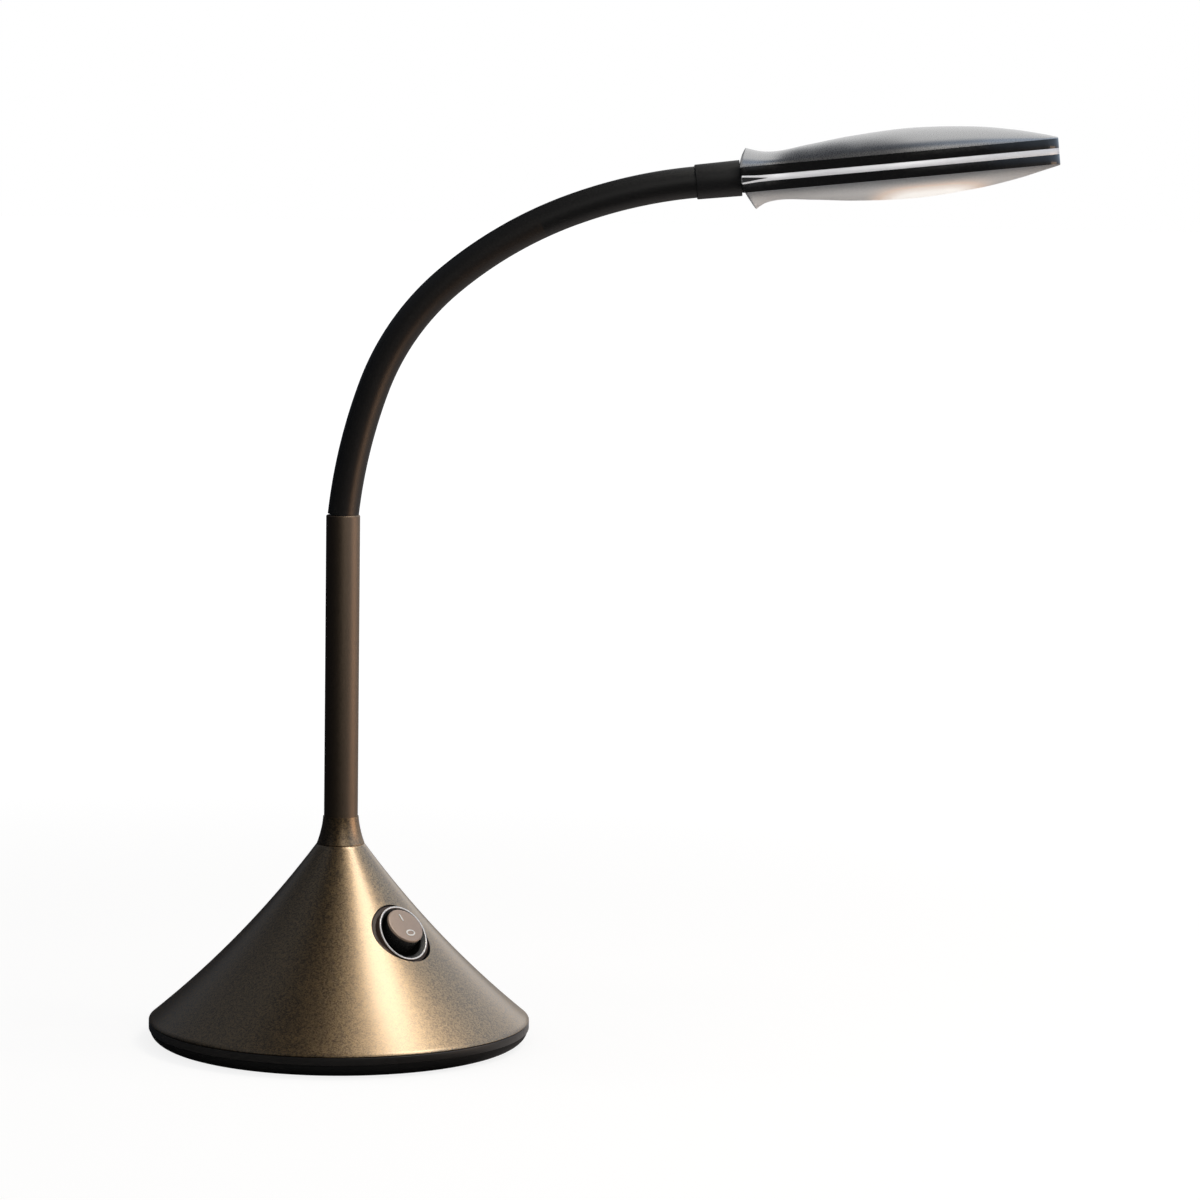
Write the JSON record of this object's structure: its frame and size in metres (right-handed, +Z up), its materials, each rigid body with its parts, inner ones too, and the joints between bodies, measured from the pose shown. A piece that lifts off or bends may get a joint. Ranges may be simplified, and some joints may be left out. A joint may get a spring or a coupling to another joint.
{
  "type": "table lamp",
  "caption": "Desk lamp: cone base with a round rocker switch, stiff stem, bendable neck and a flat leaf-shaped LED head with a frosted underside.",
  "frame": {"origin": "centre of the underside of the rubber pad, on the axis of cone and stem", "axes": "+Z up along the stem; +X the way the head reaches; the neck lies in the XZ plane; the switch faces between +X and -Y"},
  "size_m": [0.3515, 0.15, 0.3627],
  "materials": {
    "rubber": "matt",
    "black_steel": "satin",
    "bronze": "satin metallic",
    "iron": "rough cast",
    "zinc": "zinc plated",
    "hose_steel": "plain",
    "brass": "plain",
    "black_plastic": "satin",
    "gloss_black": "gloss",
    "bronze_plastic": "satin",
    "white_print": "matt",
    "silver": "satin silver",
    "bright_aluminium": "polished edge",
    "frosted": "frosted",
    "circuit_green": "solder mask",
    "circuit_white": "solder mask",
    "led": "gloss",
    "component": "matt",
    "terminal_grey": "matt",
    "wire_red": "pvc",
    "wire_black": "pvc"
  },
  "bodies": {
    "base": {"foot_pad": "rubber", "base_plate": "black_steel", "base_screws": "zinc", "weight_disc": "iron", "weight_screws": "zinc", "cone_shell": "bronze", "cord_gland": "rubber", "terminal_block": "terminal_grey", "supply_leads": "wire_black", "driver_board": "circuit_green", "driver_parts": "component", "board_screws": "zinc", "switch_housing": "bronze_plastic", "switch_terminals": "brass", "switch_leads": "wire_black", "collar": "bronze", "stem_nipple": "zinc", "stem_washer": "zinc", "stem_nut": "zinc", "stem_tube": "bronze", "neck_socket": "zinc", "stem_leads": "wire_red", "neck_sleeve_00": "rubber", "neck_core_00": "hose_steel"},
    "rocker": {"rocker": "black_plastic", "rocker_face": "bronze_plastic", "rocker_marks": "white_print", "switch_plunger": "black_plastic", "plunger_spring": "zinc"},
    "contact_strip": {"contact_strip": "brass"},
    "neck_link_1": {"neck_sleeve_01": "rubber", "neck_core_01": "hose_steel"},
    "neck_link_2": {"neck_sleeve_02": "rubber", "neck_core_02": "hose_steel"},
    "neck_link_3": {"neck_sleeve_03": "rubber", "neck_core_03": "hose_steel"},
    "neck_link_4": {"neck_sleeve_04": "rubber", "neck_core_04": "hose_steel"},
    "neck_link_5": {"neck_sleeve_05": "rubber", "neck_core_05": "hose_steel"},
    "neck_link_6": {"neck_sleeve_06": "rubber", "neck_core_06": "hose_steel"},
    "neck_link_7": {"neck_sleeve_07": "rubber", "neck_core_07": "hose_steel"},
    "neck_link_8": {"neck_sleeve_08": "rubber", "neck_core_08": "hose_steel"},
    "neck_link_9": {"neck_sleeve_09": "rubber", "neck_core_09": "hose_steel"},
    "head": {"neck_sleeve_10": "rubber", "neck_core_10": "hose_steel", "neck_ferrule": "black_plastic", "top_shell": "silver", "upper_band": "gloss_black", "heat_plate": "bright_aluminium", "lower_band": "gloss_black", "diffuser": "frosted", "led_board": "circuit_white", "led_chips": "led", "led_screws": "zinc", "head_leads": "wire_red"}
  },
  "joints": [
    {"name": "rocker_tip", "type": "hinge", "parent": "base", "child": "rocker", "pos_m": [0.02206, -0.02007, 0.04382], "axis": [0.673, 0.7396, 0], "range_deg": [0, 24]},
    {"name": "contact_tip", "type": "hinge", "parent": "base", "child": "contact_strip", "pos_m": [0.01679, -0.01528, 0.03919], "axis": [0.673, 0.7396, 0], "range_deg": [-16, 0]},
    {"name": "neck_bend", "type": "hinge", "parent": "base", "child": "neck_link_1", "pos_m": [0.00134, 0, 0.21859], "axis": [0, 1, 0], "range_deg": [-14, 14]},
    {"name": "neck_sway", "type": "hinge", "parent": "neck_link_1", "child": "neck_link_2", "pos_m": [0.00552, 0, 0.2389], "axis": [-0.9683, 0, 0.2497], "range_deg": [-10, 10]},
    {"name": "neck_bend_2", "type": "hinge", "parent": "neck_link_2", "child": "neck_link_3", "pos_m": [0.01168, 0, 0.25871], "axis": [0, 1, 0], "range_deg": [-14, 14]},
    {"name": "neck_sway_2", "type": "hinge", "parent": "neck_link_3", "child": "neck_link_4", "pos_m": [0.02082, 0, 0.2773], "axis": [-0.8471, 0, 0.5314], "range_deg": [-10, 10]},
    {"name": "neck_bend_3", "type": "hinge", "parent": "neck_link_4", "child": "neck_link_5", "pos_m": [0.03358, 0, 0.29361], "axis": [0, 1, 0], "range_deg": [-14, 14]},
    {"name": "neck_sway_3", "type": "hinge", "parent": "neck_link_5", "child": "neck_link_6", "pos_m": [0.04929, 0, 0.30713], "axis": [-0.5951, 0, 0.8037], "range_deg": [-10, 10]},
    {"name": "neck_bend_4", "type": "hinge", "parent": "neck_link_6", "child": "neck_link_7", "pos_m": [0.06672, 0, 0.31837], "axis": [0, 1, 0], "range_deg": [-14, 14]},
    {"name": "neck_sway_4", "type": "hinge", "parent": "neck_link_7", "child": "neck_link_8", "pos_m": [0.08545, 0, 0.32725], "axis": [-0.3693, 0, 0.9293], "range_deg": [-10, 10]},
    {"name": "neck_bend_5", "type": "hinge", "parent": "neck_link_8", "child": "neck_link_9", "pos_m": [0.10513, 0, 0.33382], "axis": [0, 1, 0], "range_deg": [-14, 14]},
    {"name": "neck_sway_5", "type": "hinge", "parent": "neck_link_9", "child": "head", "pos_m": [0.1254, 0, 0.33821], "axis": [-0.1584, 0, 0.9874], "range_deg": [-10, 10]}
  ],
  "couplings": [
    {"joint": "contact_tip", "follows": "rocker_tip", "ratio": -0.66667},
    {"joint": "neck_bend_2", "follows": "neck_bend", "ratio": 1},
    {"joint": "neck_sway_2", "follows": "neck_sway", "ratio": 1},
    {"joint": "neck_bend_3", "follows": "neck_bend", "ratio": 1},
    {"joint": "neck_sway_3", "follows": "neck_sway", "ratio": 1},
    {"joint": "neck_bend_4", "follows": "neck_bend", "ratio": 1},
    {"joint": "neck_sway_4", "follows": "neck_sway", "ratio": 1},
    {"joint": "neck_bend_5", "follows": "neck_bend", "ratio": 1},
    {"joint": "neck_sway_5", "follows": "neck_sway", "ratio": 1}
  ]
}
